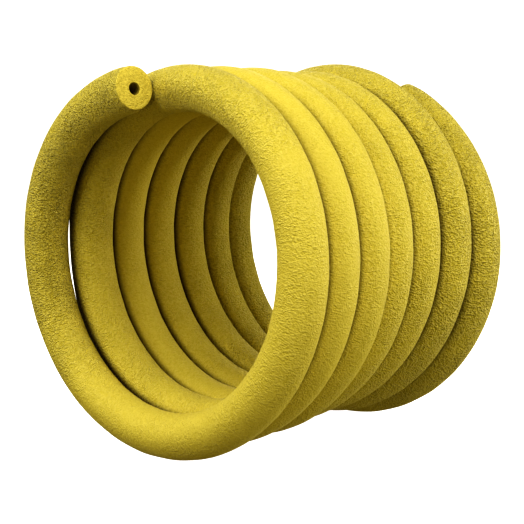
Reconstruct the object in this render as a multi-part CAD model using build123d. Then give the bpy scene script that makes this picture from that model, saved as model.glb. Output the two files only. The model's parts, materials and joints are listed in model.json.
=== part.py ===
from build123d import *
import math
import os

# A length of buoyant foam tube wound into a close coil of seven turns, which stands
# on its rim.  Millimetres, +Z up.  The coil's axis runs along Y, the turn with the
# front end faces -Y, and the origin is on the floor under the middle of the coil.

# ---- driving dimensions --------------------------------------------------------
TUBE_DIAMETER = 50.0    # outside of the foam tube
BORE_DIAMETER = 14.0    # rope bore through the middle of the tube
COIL_RADIUS = 182.0     # from the coil's axis to the middle of the tube
TURNS = 6.94            # how far the tube is wound
TURN_GAP = 0.8          # mean space between one turn and the next
START_ANGLE = 2.0       # where the front end stands, in degrees past the top
FLOOR_PRESS = 2.0       # how far the floor flattens the turn that hangs lowest
END_LIFT = 4.0          # how far a cut end springs out of its turn
END_LIFT_ANGLE = 24.0   # over how many degrees of winding it does so

# The turns are uneven.  These are read at the top of each turn in order, from the
# front one to the last, and are eased from each to the next.
TURN_GROWTH = [6.0, 0.0, -1.0, -1.0, -6.0, -4.0, 6.0, 4.0]      # on the coil's radius
TURN_SIDEWAYS = [-6.0, 11.0, 6.0, 4.0, -1.0, -3.0, -7.0, 0.0]   # middle of turn, +X
TURN_RISE = [-11.0, 0.0, 1.0, 1.0, 4.0, 3.0, 3.0, -9.0]         # middle of turn, +Z

POINTS_PER_TURN = 16    # corners of the route in each turn
CORNER_SHARE = 0.45     # share of the shorter run that a corner's arc takes up

# ---- worked out from them ------------------------------------------------------
PITCH = TUBE_DIAMETER + TURN_GAP
TUBE_RADIUS = TUBE_DIAMETER / 2
BORE_RADIUS = BORE_DIAMETER / 2
RUNS = round(TURNS * POINTS_PER_TURN)
STEP_ANGLE = 360 * TURNS / RUNS
END_ANGLE = START_ANGLE + 360 * TURNS
MIDDLE_ANGLE = (START_ANGLE + END_ANGLE) / 2
CORNER_STANDOFF = 1 / math.cos(math.radians(STEP_ANGLE / 2))


def eased(values, angle):
    """The value at an angle of winding, eased between those at the turns' tops."""
    turn = math.floor(angle / 360)
    share = (1 - math.cos(math.pi * (angle / 360 - turn))) / 2
    before = values[turn % len(values)]
    after = values[(turn + 1) % len(values)]
    return before + share * (after - before)


def end_lift(angle):
    """How far the tube stands out of its turn close to either cut end."""
    lift = 0.0
    for from_end in (angle - START_ANGLE, END_ANGLE - angle):
        lift += END_LIFT * max(0.0, 1 - from_end / END_LIFT_ANGLE) ** 2
    return lift


def winding_radius(angle):
    """Distance of the tube's middle from the middle of its turn."""
    return COIL_RADIUS + eased(TURN_GROWTH, angle) + end_lift(angle)


def around_axis(angle, standoff=1.0):
    """Places of the tube's middle beside (+X) and above (+Z) the coil's axis."""
    radius = winding_radius(angle) * standoff
    beside = eased(TURN_SIDEWAYS, angle) - radius * math.sin(math.radians(angle))
    above = eased(TURN_RISE, angle) + radius * math.cos(math.radians(angle))
    return beside, above


ALL_ROUND = [around_axis(angle) for angle in range(int(START_ANGLE), int(END_ANGLE))]
LEFTMOST = min(beside for beside, above in ALL_ROUND)
RIGHTMOST = max(beside for beside, above in ALL_ROUND)
LOWEST = min(above for beside, above in ALL_ROUND)
AXIS_SIDEWAYS = -(LEFTMOST + RIGHTMOST) / 2
AXIS_HEIGHT = TUBE_RADIUS - FLOOR_PRESS - LOWEST


def route_point(angle, standoff=1.0):
    """A point of the tube's route, which winds from the top towards -X."""
    beside, above = around_axis(angle, standoff)
    along = PITCH * (angle - MIDDLE_ANGLE) / 360
    return Vector(AXIS_SIDEWAYS + beside, along, AXIS_HEIGHT + above)


def route():
    """The two ends, and between them corners whose runs lie along the turns."""
    points = [route_point(START_ANGLE)]
    for run in range(RUNS):
        corner_angle = START_ANGLE + (run + 0.5) * STEP_ANGLE
        points.append(route_point(corner_angle, CORNER_STANDOFF))
    points.append(route_point(END_ANGLE))
    return points


def corner_radii(points):
    """One radius for each corner, as large as the two runs beside it allow."""
    radii = []
    for before, corner, after in zip(points, points[1:], points[2:]):
        arriving = corner - before
        leaving = after - corner
        half_turn = math.radians(arriving.get_angle(leaving)) / 2
        shorter = min(arriving.length, leaving.length)
        radii.append(CORNER_SHARE * shorter / math.tan(half_turn))
    return radii


def tube_path():
    """Straight runs joined by tangent arcs, from the front end to the back end."""
    points = route()
    radii = corner_radii(points)
    print(f"arc radii {min(radii):.0f} to {max(radii):.0f} mm")
    return FilletPolyline(*points, radius=radii)


def swept_round(path, radius):
    """A round rod along the path, square at both ends."""
    start = Plane(origin=path @ 0, z_dir=path % 0)
    return sweep(start * Circle(radius), path=path)


def foam_tube():
    """The whole tube, with its bore, pressed flat where the floor carries it."""
    path = tube_path()
    outside = swept_round(path, TUBE_RADIUS)
    bore = swept_round(path, BORE_RADIUS)
    size = outside.bounding_box().size
    under_floor = (Align.CENTER, Align.CENTER, Align.MAX)
    below_floor = Box(2 * size.X, 2 * size.Y, TUBE_DIAMETER, align=under_floor)
    tube = outside - bore - below_floor
    ring_area = math.pi * (TUBE_RADIUS**2 - BORE_RADIUS**2)
    print(f"tube length {path.length:.0f} mm, volume {tube.volume:.0f} mm3")
    print(f"section times length {ring_area * path.length:.0f} mm3")
    return tube


if __name__ == "__main__":
    os.makedirs("parts", exist_ok=True)
    export_step(foam_tube(), "parts/foam_tube.step")
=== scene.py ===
import json
import math

import bpy
import numpy as np
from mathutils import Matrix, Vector


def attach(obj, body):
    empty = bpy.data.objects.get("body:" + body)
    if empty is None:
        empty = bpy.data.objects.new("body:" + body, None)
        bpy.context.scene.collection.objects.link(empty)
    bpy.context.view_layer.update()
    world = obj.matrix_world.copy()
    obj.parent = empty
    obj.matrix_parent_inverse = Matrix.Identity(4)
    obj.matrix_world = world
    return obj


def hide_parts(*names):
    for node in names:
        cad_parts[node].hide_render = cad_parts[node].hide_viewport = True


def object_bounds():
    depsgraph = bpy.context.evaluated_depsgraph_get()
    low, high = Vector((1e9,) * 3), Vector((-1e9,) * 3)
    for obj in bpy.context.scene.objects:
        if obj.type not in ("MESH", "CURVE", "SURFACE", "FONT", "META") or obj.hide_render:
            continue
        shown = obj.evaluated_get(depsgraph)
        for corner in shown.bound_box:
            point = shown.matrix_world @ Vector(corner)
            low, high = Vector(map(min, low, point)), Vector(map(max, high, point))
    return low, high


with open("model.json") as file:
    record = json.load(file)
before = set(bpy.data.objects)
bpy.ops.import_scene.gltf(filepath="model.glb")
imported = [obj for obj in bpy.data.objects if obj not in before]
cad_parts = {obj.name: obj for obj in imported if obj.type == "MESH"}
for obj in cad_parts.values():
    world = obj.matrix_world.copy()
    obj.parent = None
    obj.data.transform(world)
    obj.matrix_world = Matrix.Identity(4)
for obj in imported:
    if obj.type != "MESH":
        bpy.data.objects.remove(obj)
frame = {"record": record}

bl_info = {
    "name": "Coiled foam tube",
    "version": (1, 0, 0),
    "blender": (4, 5, 0),
    "location": "View3D > Sidebar > Foam tube",
    "description": "Winds a length of buoyant foam tube into a coil and lights it in a plain studio",
    "category": "Add Mesh",
}

# Metres and radians.  The coil's axis runs along Y, its front turn faces -Y, and the
# origin is on the floor under the middle of the coil.
CAD_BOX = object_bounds()
MOUNTS = {mount["name"]: mount for mount in frame["record"]["mounts"]}
FRONT_BORE = MOUNTS["rope_bore_front"]
MM = 0.001

# The turns are uneven.  These are read at the top of each turn in order, from the
# front one to the last, and are eased from each to the next.
TURN_GROWTH = [6 * MM, 0, -1 * MM, -1 * MM, -6 * MM, -4 * MM, 6 * MM, 4 * MM]
TURN_SIDEWAYS = [-6 * MM, 11 * MM, 6 * MM, 4 * MM, -1 * MM, -3 * MM, -7 * MM, 0]
TURN_RISE = [-11 * MM, 0, 1 * MM, 1 * MM, 4 * MM, 3 * MM, 3 * MM, -9 * MM]
POINTS_PER_TURN = 16


def length_property(name, description, default):
    """A size in metres that shows with its unit."""
    return bpy.props.FloatProperty(
        name=name, description=description, default=default, min=0, unit="LENGTH", precision=4
    )


def angle_property(name, description, degrees):
    """An angle, given here in degrees."""
    return bpy.props.FloatProperty(
        name=name, description=description, default=math.radians(degrees), subtype="ANGLE"
    )


def colour_property(name, description, default):
    """A colour in linear light."""
    return bpy.props.FloatVectorProperty(
        name=name, description=description, default=default, size=3, min=0, max=1, subtype="COLOR"
    )


class FoamTubeSizes(bpy.types.PropertyGroup):
    """How long, thick and evenly wound the tube is."""

    tube_diameter: length_property("Tube diameter", "Outside of the foam tube", 50 * MM)
    bore_diameter: length_property(
        "Bore diameter", "Rope bore through the tube", 2 * FRONT_BORE["dims"]["r_mm"] * MM
    )
    coil_radius: length_property("Coil radius", "Coil's axis to the middle of the tube", 182 * MM)
    turns: bpy.props.FloatProperty(
        name="Turns", description="How far the tube is wound", default=6.94
    )
    turn_gap: length_property("Turn gap", "Mean space between one turn and the next", 0.8 * MM)
    start_angle: angle_property("Start angle", "Where the front end stands, past the top", 2)
    floor_press: length_property("Floor press", "How far the floor flattens the lowest turn", 2 * MM)
    end_lift: length_property("End lift", "How far a cut end springs out of its turn", 4 * MM)
    end_lift_angle: angle_property("End lift angle", "Winding over which it does so", 24)
    contact_swell: length_property(
        "Contact swell", "How far the foam bulges sideways between its turns", 0.6 * MM
    )
    contact_clearance: length_property(
        "Contact clearance", "Space left on each side where two turns meet", 0.12 * MM
    )
    lump_height: length_property("Lump height", "Unevenness of the extruded skin", 0.3 * MM)
    fold_height: length_property("Fold height", "Shallow folds inside the bend", 0.22 * MM)
    cut_squeeze: length_property(
        "Cut squeeze", "How far the knife drew in a cut end's rim", 2.0 * MM
    )
    squeeze_lean: length_property(
        "Squeeze lean", "How much more the rim is drawn in inside the bend", 1.1 * MM
    )
    squeeze_reach: length_property("Squeeze reach", "Length of tube that is drawn in", 9 * MM)
    mouth_squeeze: length_property(
        "Mouth squeeze", "How far the cut closed the bore's mouth", 0.7 * MM
    )
    crease_reach: length_property(
        "Crease reach", "How far from the next turn the skin is shaded", 10 * MM
    )
    crease_fade: length_property(
        "Crease fade", "Length over which the shade fades out at a cut end", 18 * MM
    )
    ring_spacing: length_property("Ring spacing", "Distance between the mesh's rings", 5.2 * MM)
    sides: bpy.props.IntProperty(
        name="Sides", description="Faces around the tube", default=56, min=12
    )


class FoamTubeFinish(bpy.types.PropertyGroup):
    """Colours of the foam, the painted shade of its hollows, pits, creases and bore, and the scale
    of its grain.
    """

    skin_colour: colour_property(
        "Skin", "The foam's skin on the tops of its grain", (0.765, 0.643, 0.112)
    )
    # Painted shade: the skin in the grain's hollows is coloured darker than on its tops.
    hollow_shade_colour: colour_property("Skin hollows", "The skin in the hollows", (0.66, 0.54, 0.060))
    # Painted shade: the deepest hollows of coarse skin are coloured darker still.
    pit_shade_colour: colour_property(
        "Pits", "The deepest hollows where the skin is coarse", (0.44, 0.34, 0.025)
    )
    # Painted shade: the skin is coloured darker deep in the creases between the turns.
    crease_shade_colour: colour_property(
        "Creases", "The skin deep between the turns", (0.10, 0.062, 0.005)
    )
    # How strongly the painted crease shade is laid on.
    crease_shade_strength: bpy.props.FloatProperty(
        name="Crease shade strength",
        description="How strongly the painted shade darkens the creases",
        default=2.0,
        min=0,
    )
    cut_colour: colour_property(
        "Cut face", "The foam where the knife went through", (0.88, 0.73, 0.125)
    )
    torn_colour: colour_property("Torn cells", "The hollows of the cut face", (0.64, 0.51, 0.070))
    tear_depth: length_property("Tear depth", "Height of the cut face's torn cells", 2.0 * MM)
    # Painted shade: the bore's wall is coloured dark as shade falls deep inside it.
    bore_shade_colour: colour_property("Bore", "The wall of the rope bore", (0.12, 0.08, 0.004))
    grain_length: length_property("Grain length", "Size of the grain along the tube", 2.0 * MM)
    grain_width: length_property("Grain width", "Size of the grain around the tube", 3.6 * MM)
    grain_depth: length_property("Grain depth", "Height of the grain", 3.1 * MM)


class StudioSettings(bpy.types.PropertyGroup):
    """Camera and light."""

    azimuth: angle_property("Azimuth", "Camera's direction round the coil", 44.33)
    elevation: angle_property("Elevation", "Camera's height above level", 6.56)
    distance: length_property("Distance", "From the camera to the point that it faces", 1.276)
    focal_length: bpy.props.FloatProperty(
        name="Focal length", description="Lens, in millimetres on a 36 mm sensor", default=83.4
    )
    aim: bpy.props.FloatVectorProperty(
        name="Aim",
        description="Point that the camera faces",
        default=(0.0910, -0.0910, 0.2137),
        subtype="XYZ",
    )
    light_distance: length_property("Light distance", "From the coil's middle to every light", 1.9)
    power: bpy.props.FloatProperty(
        name="Power", description="Scales all the lights", default=0.99, min=0
    )
    fill_strength: bpy.props.FloatProperty(
        name="Fill", description="Light from all round", default=0.12, min=0
    )
    fill_colour: colour_property(
        "Fill colour", "Colour of the light from all round", (1.0, 0.78, 0.08)
    )
    floor_glow: bpy.props.FloatProperty(
        name="Floor glow",
        description="Keeps the far floor as pale as the surround",
        default=0.85,
        min=0,
    )


# ---- the route of the tube -------------------------------------------------------


class Winding:
    """The coil's winding, worked out from the sizes."""

    def __init__(self, sizes):
        self.sizes = sizes
        self.pitch = sizes.tube_diameter + sizes.turn_gap
        self.end_angle = sizes.start_angle + math.tau * sizes.turns
        self.runs = round(sizes.turns * POINTS_PER_TURN)
        self.step_angle = math.tau * sizes.turns / self.runs
        steps = 360 * int(sizes.turns + 1)
        angles = np.linspace(sizes.start_angle, self.end_angle, steps)
        beside, above = zip(*(self.around_axis(angle) for angle in angles))
        self.axis_x = -(min(beside) + max(beside)) / 2
        self.axis_z = sizes.tube_diameter / 2 - sizes.floor_press - min(above)

    def eased(self, values, angle):
        """The value at an angle of winding, eased between those at the turns' tops."""
        turn = math.floor(angle / math.tau)
        share = (1 - math.cos(math.pi * (angle / math.tau - turn))) / 2
        before = values[turn % len(values)]
        after = values[(turn + 1) % len(values)]
        return before + share * (after - before)

    def end_lift(self, angle):
        """How far the tube stands out of its turn close to either cut end."""
        lift = 0.0
        for from_end in (angle - self.sizes.start_angle, self.end_angle - angle):
            lift += self.sizes.end_lift * max(0.0, 1 - from_end / self.sizes.end_lift_angle) ** 2
        return lift

    def around_axis(self, angle, standoff=1.0):
        """Places of the tube's middle beside (+X) and above (+Z) the coil's axis."""
        radius = self.sizes.coil_radius + self.eased(TURN_GROWTH, angle) + self.end_lift(angle)
        beside = self.eased(TURN_SIDEWAYS, angle) - radius * standoff * math.sin(angle)
        above = self.eased(TURN_RISE, angle) + radius * standoff * math.cos(angle)
        return beside, above

    def point(self, angle, standoff=1.0):
        """A point of the tube's route, which winds from the top towards -X."""
        beside, above = self.around_axis(angle, standoff)
        middle_angle = (self.sizes.start_angle + self.end_angle) / 2
        along = self.pitch * (angle - middle_angle) / math.tau
        return Vector((self.axis_x + beside, along, self.axis_z + above))

    def points(self):
        """The two ends, and between them corners whose runs lie along the turns."""
        standoff = 1 / math.cos(self.step_angle / 2)
        corners = [
            self.point(self.sizes.start_angle + (run + 0.5) * self.step_angle, standoff)
            for run in range(self.runs)
        ]
        return [self.point(self.sizes.start_angle), *corners, self.point(self.end_angle)]


def smooth_line(points):
    """Points along the smooth curve that has the route's points as its control points."""
    curve = bpy.data.curves.new("tube_route", "CURVE")
    curve.dimensions = "3D"
    curve.resolution_u = 16
    spline = curve.splines.new("NURBS")
    spline.points.add(len(points) - 1)
    for control, point in zip(spline.points, points):
        control.co = (*point, 1)
    spline.order_u = 3
    spline.use_endpoint_u = True
    route = bpy.data.objects.new("tube_route", curve)
    bpy.context.scene.collection.objects.link(route)
    bpy.context.view_layer.update()
    evaluated = route.evaluated_get(bpy.context.evaluated_depsgraph_get())
    line = bpy.data.meshes.new_from_object(evaluated)
    places = np.array([vertex.co[:] for vertex in line.vertices])
    bpy.data.objects.remove(route)
    bpy.data.curves.remove(curve)
    bpy.data.meshes.remove(line)
    return places


# ---- the tube's surface ----------------------------------------------------------


def unit(vectors):
    """Each row at length one."""
    return vectors / np.linalg.norm(vectors, axis=-1, keepdims=True)


class TubeLine:
    """The tube's middle line, with the directions across it, by distance along it."""

    def __init__(self, places, winding):
        self.places = places
        steps = np.linalg.norm(np.diff(places, axis=0), axis=1)
        self.distances = np.concatenate([[0], np.cumsum(steps)])
        self.length = self.distances[-1]
        self.turn_length = self.length / winding.sizes.turns
        self.tangents = unit(np.gradient(places, self.distances, axis=0))
        self.axis = np.array([winding.axis_x, 0, winding.axis_z])

    def between(self, rows, along):
        """Rows of a table at any distances along the line."""
        return np.stack([np.interp(along, self.distances, column) for column in rows.T], axis=-1)

    def at(self, along):
        """Middle, tangent, outward and sideways directions at distances along the line."""
        middle = self.between(self.places, along)
        tangent = unit(self.between(self.tangents, along))
        outward = (middle - self.axis) * [1, 0, 1]
        outward = unit(outward - tangent * (outward * tangent).sum(axis=-1, keepdims=True))
        sideways = np.cross(outward, tangent)
        return middle, tangent, outward, sideways


def uneven(along, around, waves, seed):
    """Smooth unevenness from -1 to 1 that closes around the tube."""
    draw = np.random.default_rng(seed)
    total = np.zeros(np.broadcast(along, around).shape)
    for shortest, longest, most_around in waves:
        wavelength = draw.uniform(shortest, longest)
        count_around = draw.integers(-most_around, most_around + 1)
        phase = draw.uniform(0, math.tau)
        total += np.sin(math.tau * along / wavelength + count_around * around + phase)
    return total / len(waves)


# Shortest and longest wavelength, and the most waves around the tube.
LUMP_WAVES = [
    (0.030, 0.060, 2), (0.045, 0.080, 3), (0.060, 0.110, 4), (0.025, 0.045, 3), (0.090, 0.160, 2),
]
FOLD_WAVES = [(0.0155, 0.0185, 0), (0.021, 0.025, 1), (0.0135, 0.0150, 1)]
PATCH_WAVES = [(0.09, 0.16, 1), (0.14, 0.25, 1), (0.06, 0.09, 2)]
LUMP_SEED = 11
PATCH_SEED = 12
FOLD_SEED = 13

# Where the second turn bulges forward into the gap that the first leaves: turns from
# the front end, how far it reaches along the tube in turns, and height.
BULGES = [(1.224, 0.018, 1.6 * MM), (1.352, 0.045, 2.8 * MM)]

# Which way round the tube the bulges face, halfway from outward to forward, and how
# wide they are, in radians.
BULGE_FACING = 0.25 * math.pi
BULGE_WIDTH = 0.6


def skin_radius(along, around, sizes, line):
    """Distance of the skin from the tube's middle before anything presses on it."""
    radius = sizes.tube_diameter / 2 + sizes.contact_swell * np.sin(around) ** 2
    from_facing = (around + math.pi) % math.tau - math.pi - BULGE_FACING
    across_bulge = np.exp(-((from_facing / BULGE_WIDTH) ** 2))
    for turn, reach, height in BULGES:
        from_bulge = along / line.turn_length - turn
        radius = radius + height * across_bulge * np.exp(-((from_bulge / reach) ** 2))
    from_end = np.minimum(along, line.length - along)
    squeeze = sizes.cut_squeeze - sizes.squeeze_lean * np.cos(around)
    radius = radius - squeeze * np.exp(-((from_end / sizes.squeeze_reach) ** 2))
    radius = radius + sizes.lump_height * uneven(along, around, LUMP_WAVES, LUMP_SEED)
    inside_bend = np.clip(-np.cos(around), 0, 1) ** 1.5
    patches = 0.5 + 0.5 * uneven(along, around, PATCH_WAVES, PATCH_SEED)
    folds = uneven(along, around, FOLD_WAVES, FOLD_SEED)
    return radius + sizes.fold_height * inside_bend * patches * folds


def press_neighbours(skin, middle, along, line, sizes):
    """Flattens the skin where a neighbouring turn lies against it.

    Also gives how deep each point lies in the crease beside that turn, from 0 to 1, which sets the
    painted crease shade.
    """
    crease = np.zeros(skin.shape[:2])
    for shift in (-line.turn_length, line.turn_length):
        neighbour, place = nearest_on_line(line, middle, along + shift)
        from_end = np.minimum(place, line.length - place)
        beside = from_end > 0
        apart = neighbour - middle
        gap = np.linalg.norm(apart, axis=-1, keepdims=True)
        towards = (apart / gap)[:, None, :]
        reach = ((skin - middle[:, None, :]) * towards).sum(axis=-1)
        excess = np.clip(reach - gap / 2 + sizes.contact_clearance, 0, None)
        skin = skin - towards * (excess * beside[:, None])[..., None]
        clear = np.linalg.norm(skin - neighbour[:, None, :], axis=-1) - sizes.tube_diameter / 2
        shade = np.clip(1 - clear / sizes.crease_reach, 0, 1)
        crease = np.maximum(crease, shade * np.clip(from_end / sizes.crease_fade, 0, 1)[:, None])
    return skin, crease


# How far either side of a guess to look for the nearest point, in turns, and in how
# many places.
SEARCH_TURNS = 0.06
SEARCH_PLACES = 61


def nearest_on_line(line, middle, guess):
    """The line's nearest point to each middle, and the distance along the line there."""
    best = np.full(len(middle), np.inf)
    nearest = np.zeros_like(middle)
    nearest_place = np.zeros(len(middle))
    for offset in np.linspace(-SEARCH_TURNS, SEARCH_TURNS, SEARCH_PLACES) * line.turn_length:
        place = np.clip(guess + offset, 0, line.length)
        point = line.between(line.places, place)
        distance = np.linalg.norm(point - middle, axis=-1)
        closer = distance < best
        best = np.where(closer, distance, best)
        nearest = np.where(closer[:, None], point, nearest)
        nearest_place = np.where(closer, place, nearest_place)
    return nearest, nearest_place


def ring_of(line, along, around, radius):
    """The middle line's points, and the points around each: a row for each distance."""
    middle, _, outward, sideways = line.at(along)
    across = np.cos(around)[None, :, None] * outward[:, None, :]
    across = across + np.sin(around)[None, :, None] * sideways[:, None, :]
    return middle, middle[:, None, :] + across * radius[..., None]


# A cut end from the skin in to the bore: share of the wall that is left, and depth
# below the cut in millimetres.  Its first and last rings belong to the skin and bore.
END_PROFILE = [
    (1.0, 2.6), (1.0, 1.0), (0.992, 0.35), (0.965, 0.0), (0.86, 0.0), (0.70, 0.0),
    (0.54, 0.0), (0.38, 0.0), (0.22, 0.0), (0.10, 0.0), (0.035, 0.12), (0.0, 0.6), (0.0, 2.4),
]

# How far the knife strayed from a flat cut.
CUT_WAVER = 0.25 * MM

# The bore is seen only at its mouths, so its rings stand this many times further apart.
BORE_RING_RATIO = 8


def tube_rings(line, sizes):
    """Rings in one closed round: skin to the back, back end, bore to the front, front end."""
    around = np.arange(sizes.sides) * math.tau / sizes.sides
    depth = END_PROFILE[0][1] * MM
    count = round(line.length / sizes.ring_spacing)
    skin_along = np.linspace(depth, line.length - depth, count)
    radius = skin_radius(skin_along[:, None], around[None, :], sizes, line)
    middle, skin = ring_of(line, skin_along, around, radius)
    skin, skin_crease = press_neighbours(skin, middle, skin_along, line, sizes)
    bore_depth = END_PROFILE[-1][1] * MM
    bore_count = round(line.length / (BORE_RING_RATIO * sizes.ring_spacing))
    bore_along = np.linspace(line.length - bore_depth, bore_depth, bore_count)
    bore_radius = np.full((bore_count, sizes.sides), sizes.bore_diameter / 2)
    bore_radius[[0, -1]] -= sizes.mouth_squeeze
    _, bore = ring_of(line, bore_along, around, bore_radius)
    back, back_along = end_rings(line, sizes, around, back=True)
    front, front_along = end_rings(line, sizes, around, back=False)
    rings = np.concatenate([skin, back, bore, front[::-1]])
    along = np.concatenate([skin_along, back_along, bore_along, front_along[::-1]])
    rings[..., 2] = np.maximum(rings[..., 2], 0)
    crease = np.zeros(rings.shape[:2])
    crease[:count] = skin_crease
    end_shares = [share for share, _ in END_PROFILE[1:-1]]
    shares = np.array([1.0] * count + end_shares + [0.0] * bore_count + end_shares[::-1])
    return rings, along, around, shares, crease


# The mesh's materials, and the shares of the wall at which the cut face begins and ends.
SKIN, CUT, BORE = 0, 1, 2
RIM_SHARE = 0.99
LIP_SHARE = 0.04


def band_kinds(shares):
    """What each band of faces shows: skin, cut face or bore."""
    following = np.roll(shares, -1)
    kinds = np.full(len(shares), CUT)
    kinds[np.minimum(shares, following) > RIM_SHARE] = SKIN
    kinds[np.maximum(shares, following) < LIP_SHARE] = BORE
    return kinds


def end_rings(line, sizes, around, back):
    """The rings of a cut end, from the skin's rim in to the bore's, and their distances."""
    bore_radius = sizes.bore_diameter / 2 - sizes.mouth_squeeze
    rings = []
    alongs = []
    for share, depth_mm in END_PROFILE[1:-1]:
        on_face = 0 < share < RIM_SHARE
        waver = CUT_WAVER * on_face * np.sin(2 * around + 9 * share + back)
        depth = depth_mm * MM + CUT_WAVER + waver
        along = line.length - depth if back else depth
        outside = skin_radius(along, around, sizes, line)
        radius = bore_radius + share * (outside - bore_radius)
        middle, _, outward, sideways = line.at(along)
        across = np.cos(around)[:, None] * outward + np.sin(around)[:, None] * sideways
        rings.append(middle + across * radius[:, None])
        alongs.append(float(np.mean(along)))
    return np.array(rings), np.array(alongs)


# How coarse the skin's grain is: turns from the front end, and coarseness.
SKIN_COARSENESS = [
    (0.0, 2.8), (0.28, 2.8), (0.42, 0.7), (0.6, 0.75), (0.86, 0.7), (0.91, 1.8), (0.98, 2.4),
    (1.1, 1.6), (1.3, 1.4), (1.7, 0.6), (2.7, 0.8), (3.7, 1.2), (4.7, 1.5), (5.7, 2.2), (7.0, 2.7),
]


def store(mesh, name, values):
    """Keeps a number or a vector for each point of the mesh."""
    is_vector = values.ndim == 3
    stored = mesh.attributes.new(name, "FLOAT_VECTOR" if is_vector else "FLOAT", "POINT")
    stored.data.foreach_set("vector" if is_vector else "value", values.ravel().astype(np.float32))


def tube_mesh(rings, along, around, shares, sizes):
    """A closed mesh through the rings, which stores where each point is on the tube."""
    ring_count, sides = rings.shape[:2]
    corner = np.arange(ring_count * sides).reshape(ring_count, sides)
    following = np.roll(corner, -1, axis=0)
    faces = np.stack(
        [corner, following, np.roll(following, -1, axis=1), np.roll(corner, -1, axis=1)], axis=-1
    ).reshape(-1, 4)
    mesh = bpy.data.meshes.new("foam_tube")
    mesh.from_pydata(rings.reshape(-1, 3).tolist(), [], faces.tolist())
    kinds = np.repeat(band_kinds(shares), sides).astype(np.int32)
    mesh.polygons.foreach_set("material_index", kinds)
    mesh.shade_smooth()
    place = np.empty((ring_count, sides, 3))
    place[..., 0] = np.cos(around) * sizes.tube_diameter / 2
    place[..., 1] = np.sin(around) * sizes.tube_diameter / 2
    place[..., 2] = along[:, None]
    store(mesh, "skin_place", place)
    mesh.update()
    return mesh


# ---- materials -------------------------------------------------------------------


class Nodes:
    """Short ways to add and join a material's nodes."""

    def __init__(self, name):
        self.material = bpy.data.materials.new(name)
        self.material.use_nodes = True
        self.tree = self.material.node_tree
        self.shader = self.tree.nodes["Principled BSDF"]

    def add(self, kind, settings=(), **inputs):
        """A node with its settings, and its inputs set to values or joined to sockets."""
        node = self.tree.nodes.new(kind)
        for name, value in dict(settings).items():
            setattr(node, name, value)
        for name, value in inputs.items():
            self.join(node.inputs[name.replace("_", " ")], value)
        return node

    def join(self, socket, value):
        """Joins an output to the socket, or sets the socket's own value."""
        if isinstance(value, bpy.types.NodeSocket):
            self.tree.links.new(value, socket)
        else:
            socket.default_value = value

    def noise(self, vector, size, **inputs):
        """A noise pattern with features of the given size in metres, by axis."""
        scaled = self.add("ShaderNodeMapping", Vector=vector, Scale=[1 / side for side in size])
        vector = scaled.outputs["Vector"]
        return self.add("ShaderNodeTexNoise", Vector=vector, Scale=1.0, **inputs).outputs["Fac"]

    def attribute(self, name, output):
        """Something that the mesh stores for each point."""
        return self.add("ShaderNodeAttribute", {"attribute_name": name}).outputs[output]

    def between(self, value, low, high, to_low=0.0, to_high=1.0):
        """The value moved from one range to another, and held inside it."""
        moved = self.add("ShaderNodeMapRange", Value=value)
        bounds = {"From Min": low, "From Max": high, "To Min": to_low, "To Max": to_high}
        for name, bound in bounds.items():
            self.join(moved.inputs[name], bound)
        return moved.outputs["Result"]

    def math(self, operation, first, second):
        """Two values worked into one."""
        node = self.tree.nodes.new("ShaderNodeMath")
        node.operation = operation
        self.join(node.inputs[0], first)
        self.join(node.inputs[1], second)
        return node.outputs["Value"]

    def blend(self, first, first_share, second):
        """Two values added, the first by its share and the second by the rest."""
        first_part = self.math("MULTIPLY", first, first_share)
        return self.math("ADD", first_part, self.math("MULTIPLY", second, 1 - first_share))

    def colours(self, share, first, second):
        """One colour at share 0, the other at share 1."""
        node = self.tree.nodes.new("ShaderNodeMix")
        node.data_type = "RGBA"
        self.join(node.inputs["Factor"], share)
        self.join(node.inputs["A"], first)
        self.join(node.inputs["B"], second)
        return node.outputs["Result"]

    def bump(self, height, distance, strength):
        """A surface normal that follows the height."""
        node = self.add("ShaderNodeBump", Height=height, Distance=distance, Strength=strength)
        return node.outputs["Normal"]


def rgba(colour):
    """A colour property as a socket takes it."""
    return (*colour, 1.0)


# How much of the grain's height is wrinkles; the rest is pebbles.
WRINKLE_SHARE = 0.62

# Size of the patches in which the grain is a little coarser or finer.
PATCH_SIZE = (30 * MM, 30 * MM, 45 * MM)

# Heights of the grain at which its painted shade changes: from the shaded hollow to
# the skin, and from hollow down to the darker shade of a pit.
HOLLOW_TO_SKIN = (-0.12, 0.12)
HOLLOW_TO_PIT = (-0.18, -0.85)


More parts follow.
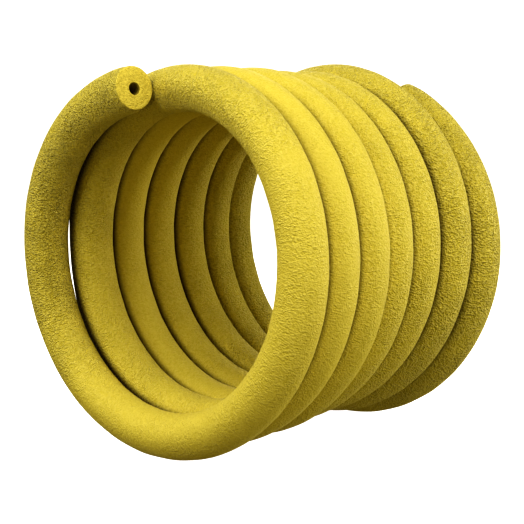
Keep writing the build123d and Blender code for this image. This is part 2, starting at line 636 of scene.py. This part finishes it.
def foam_skin(finish):
    """Matt extruded skin: fine wrinkles around the tube, with pits where it is coarse, and painted
    shade in its hollows, pits and creases.
    """
    nodes = Nodes("foam_skin")
    place = nodes.attribute("skin_place", "Vector")
    coarseness = nodes.attribute("coarseness", "Fac")
    crease = nodes.attribute("crease", "Fac")
    width, length = finish.grain_width, finish.grain_length
    wrinkles = nodes.noise(place, (width, width, length), Detail=1.0, Roughness=0.5, Distortion=0.5)
    pebbles = nodes.noise(place, (0.45 * width, 0.45 * width, 0.7 * length), Detail=0.0)
    patches = nodes.noise(place, PATCH_SIZE, Detail=2.0)
    height = nodes.blend(wrinkles, WRINKLE_SHARE, pebbles)
    coarse = nodes.math("MULTIPLY", coarseness, nodes.between(patches, 0.35, 0.65, 0.75, 1.15))
    raised = nodes.math("MULTIPLY", nodes.math("SUBTRACT", height, 0.5), coarse)
    # Painted shade: the grain's hollows take a darker colour than its tops.
    share = nodes.between(raised, *HOLLOW_TO_SKIN)
    colour = nodes.colours(share, rgba(finish.hollow_shade_colour), rgba(finish.skin_colour))
    # Painted shade: the deepest hollows of coarse skin take a darker colour still.
    pits = nodes.between(raised, *HOLLOW_TO_PIT)
    colour = nodes.colours(pits, colour, rgba(finish.pit_shade_colour))
    # Painted shade: the skin darkens deep in the creases between the turns.
    shaded = nodes.math("MULTIPLY", nodes.math("POWER", crease, 1.5), finish.crease_shade_strength)
    colour = nodes.colours(shaded, colour, rgba(finish.crease_shade_colour))
    nodes.join(nodes.shader.inputs["Base Color"], colour)
    nodes.join(nodes.shader.inputs["Normal"], nodes.bump(raised, finish.grain_depth, 1.0))
    nodes.join(nodes.shader.inputs["Roughness"], nodes.between(raised, -0.15, 0.15, 0.75, 0.58))
    nodes.shader.inputs["Specular IOR Level"].default_value = 0.25
    nodes.shader.inputs["Sheen Weight"].default_value = 0.3
    nodes.shader.inputs["Sheen Roughness"].default_value = 0.3
    nodes.shader.inputs["Sheen Tint"].default_value = (1.0, 0.92, 0.45, 1.0)
    return nodes.material


# Sizes of the cut face's tears and single cells, and of the bore's grain, by axis.
TEAR_SIZE = (3.2 * MM, 3.2 * MM, 1.7 * MM)
CELL_SIZE = (1.5 * MM, 1.5 * MM, 1.2 * MM)
BORE_GRAIN_SIZE = (3 * MM, 3 * MM, 2 * MM)


def cut_foam(finish):
    """The cut face: torn cells, a little duller towards their hollows."""
    nodes = Nodes("cut_foam")
    place = nodes.attribute("cut_place", "Vector")
    tears = nodes.noise(place, TEAR_SIZE, Detail=1.0, Distortion=0.6)
    cells = nodes.noise(place, CELL_SIZE, Detail=1.0)
    height = nodes.blend(tears, 0.6, cells)
    share = nodes.between(height, 0.36, 0.60)
    colour = nodes.colours(share, rgba(finish.torn_colour), rgba(finish.cut_colour))
    nodes.join(nodes.shader.inputs["Base Color"], colour)
    nodes.join(nodes.shader.inputs["Normal"], nodes.bump(height, finish.tear_depth, 1.0))
    nodes.shader.inputs["Roughness"].default_value = 0.85
    nodes.shader.inputs["Specular IOR Level"].default_value = 0.2
    return nodes.material


def bore_foam(finish):
    """The wall of the bore, rougher, and much darker with painted shade deep in the bore."""
    nodes = Nodes("bore_foam")
    place = nodes.attribute("skin_place", "Vector")
    grain = nodes.noise(place, BORE_GRAIN_SIZE, Detail=2.0)
    # Painted shade: the bore's wall is coloured dark, with the pit shade on its grain.
    colour = nodes.colours(grain, rgba(finish.bore_shade_colour), rgba(finish.pit_shade_colour))
    nodes.join(nodes.shader.inputs["Base Color"], colour)
    nodes.join(nodes.shader.inputs["Normal"], nodes.bump(grain, 0.5 * MM, 0.6))
    nodes.shader.inputs["Roughness"].default_value = 0.9
    return nodes.material


# ---- operators -------------------------------------------------------------------


class FOAM_OT_tube(bpy.types.Operator):
    """Winds the foam tube"""

    bl_idname = "foam.tube"
    bl_label = "Foam tube"

    def execute(self, context):
        sizes = context.scene.foam_tube_sizes
        finish = context.scene.foam_tube_finish
        winding = Winding(sizes)
        line = TubeLine(smooth_line(winding.points()), winding)
        rings, along, around, shares, crease = tube_rings(line, sizes)
        mesh = tube_mesh(rings, along, around, shares, sizes)
        store(mesh, "cut_place", rings)
        store(mesh, "crease", crease)
        turns = np.repeat(along[:, None], sizes.sides, axis=1) / line.turn_length
        store(mesh, "coarseness", np.interp(turns, *zip(*SKIN_COARSENESS)))
        for material in (foam_skin(finish), cut_foam(finish), bore_foam(finish)):
            mesh.materials.append(material)
        tube = bpy.data.objects.new("coiled_foam_tube", mesh)
        context.scene.collection.objects.link(tube)
        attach(tube, "root")
        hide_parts("foam_tube")
        return {"FINISHED"}


def plain_material(name, colour, glow):
    """A matt studio surface."""
    material = bpy.data.materials.new(name)
    material.use_nodes = True
    shader = material.node_tree.nodes["Principled BSDF"]
    shader.inputs["Base Color"].default_value = (*colour, 1.0)
    shader.inputs["Roughness"].default_value = 0.9
    shader.inputs["Emission Color"].default_value = (1.0, 1.0, 1.0, 1.0)
    shader.inputs["Emission Strength"].default_value = glow
    return material


def deselect_all():
    """Leaves nothing selected."""
    for item in bpy.context.selected_objects:
        item.select_set(False)


# Soft lights: name, direction round the coil and height above level in degrees, width
# and height in metres, power in watts.
LIGHTS = [
    ("key", 60, 62, 1.2, 1.2, 18.3),
    ("front", -4, 24, 1.2, 0.9, 12.5),
    ("left_top", -50, 35, 0.8, 0.8, 8.3),
    ("right_side", 100, 8, 1.2, 0.7, 9.5),
    ("low_bounce", 62, -20, 1.2, 1.0, 2.6),
    ("back_rim", 152, 8, 0.8, 0.5, 12.0),
    ("back_left", -130, 22, 1.4, 1.0, 11.0),
]


def direction(azimuth, elevation):
    """Unit vector from the coil's middle, where azimuth 0 stands in front of it."""
    level = math.cos(elevation)
    return Vector((math.sin(azimuth) * level, -math.cos(azimuth) * level, math.sin(elevation)))


def area_light(name, place, aim, width, height, power):
    """A soft light that faces a point."""
    deselect_all()
    bpy.ops.object.light_add(type="AREA", location=place)
    light = bpy.context.object
    light.name = name
    light.rotation_euler = (Vector(aim) - Vector(place)).to_track_quat("-Z", "Y").to_euler()
    light.data.shape = "RECTANGLE"
    light.data.size = width
    light.data.size_y = height
    light.data.energy = power


class FOAM_OT_studio(bpy.types.Operator):
    """Lays the pale floor, hangs the lights and sets the camera"""

    bl_idname = "foam.studio"
    bl_label = "Studio"

    def execute(self, context):
        settings = context.scene.studio_settings
        self.lay_floor(settings)
        self.set_surround(context, settings)
        low, high = CAD_BOX
        middle = (low + high) / 2
        for name, azimuth, elevation, width, height, power in LIGHTS:
            away = direction(math.radians(azimuth), math.radians(elevation))
            place = middle + away * settings.light_distance
            area_light(name, place, middle, width, height, power * settings.power)
        self.set_camera(context, settings)
        context.scene.view_settings.view_transform = "Standard"
        context.scene.view_settings.look = "High Contrast"
        return {"FINISHED"}

    def lay_floor(self, settings):
        """A white floor that throws no light back up onto the foam."""
        deselect_all()
        bpy.ops.mesh.primitive_plane_add(size=24, location=(0, 0, 0))
        floor = bpy.context.object
        floor.name = "studio_floor"
        white = plain_material("studio_white", (0.92, 0.92, 0.92), settings.floor_glow)
        floor.data.materials.append(white)
        floor.visible_diffuse = False
        floor.visible_glossy = False
        floor.visible_shadow = False

    def set_surround(self, context, settings):
        """A surround that is seen white and gives only a little warm fill."""
        world = bpy.data.worlds.new("studio_surround")
        world.use_nodes = True
        context.scene.world = world
        tree = world.node_tree
        fill = tree.nodes["Background"]
        fill.inputs["Color"].default_value = rgba(settings.fill_colour)
        fill.inputs["Strength"].default_value = settings.fill_strength
        seen = tree.nodes.new("ShaderNodeBackground")
        seen.inputs["Color"].default_value = (1.0, 1.0, 1.0, 1.0)
        path = tree.nodes.new("ShaderNodeLightPath")
        mix = tree.nodes.new("ShaderNodeMixShader")
        tree.links.new(path.outputs["Is Camera Ray"], mix.inputs["Fac"])
        tree.links.new(fill.outputs["Background"], mix.inputs[1])
        tree.links.new(seen.outputs["Background"], mix.inputs[2])
        tree.links.new(mix.outputs["Shader"], tree.nodes["World Output"].inputs["Surface"])

    def set_camera(self, context, settings):
        """A camera that faces the aim point from its direction and distance."""
        back = direction(settings.azimuth, settings.elevation)
        deselect_all()
        bpy.ops.object.camera_add(location=Vector(settings.aim) + back * settings.distance)
        camera = context.object
        camera.rotation_euler = (-back).to_track_quat("-Z", "Y").to_euler()
        camera.data.lens = settings.focal_length
        context.scene.camera = camera


class FOAM_PT_panel(bpy.types.Panel):
    """Lists what can be made"""

    bl_idname = "FOAM_PT_panel"
    bl_label = "Foam tube"
    bl_space_type = "VIEW_3D"
    bl_region_type = "UI"
    bl_category = "Foam tube"

    def draw(self, context):
        for operator in (FOAM_OT_tube, FOAM_OT_studio):
            self.layout.operator(operator.bl_idname)
        for group in ("foam_tube_sizes", "foam_tube_finish", "studio_settings"):
            settings = getattr(context.scene, group)
            box = self.layout.box()
            for name in settings.__annotations__:
                box.prop(settings, name)


CLASSES = (
    FoamTubeSizes,
    FoamTubeFinish,
    StudioSettings,
    FOAM_OT_tube,
    FOAM_OT_studio,
    FOAM_PT_panel,
)


def register():
    """Makes the classes and the scene's settings known to Blender."""
    for item in CLASSES:
        bpy.utils.register_class(item)
    bpy.types.Scene.foam_tube_sizes = bpy.props.PointerProperty(type=FoamTubeSizes)
    bpy.types.Scene.foam_tube_finish = bpy.props.PointerProperty(type=FoamTubeFinish)
    bpy.types.Scene.studio_settings = bpy.props.PointerProperty(type=StudioSettings)


def unregister():
    """Undoes register."""
    del bpy.types.Scene.studio_settings
    del bpy.types.Scene.foam_tube_finish
    del bpy.types.Scene.foam_tube_sizes
    for item in reversed(CLASSES):
        bpy.utils.unregister_class(item)


def main():
    """Makes the whole scene."""
    register()
    bpy.ops.foam.tube()
    bpy.ops.foam.studio()
    bpy.context.view_layer.update()


if __name__ == "__main__":
    main()
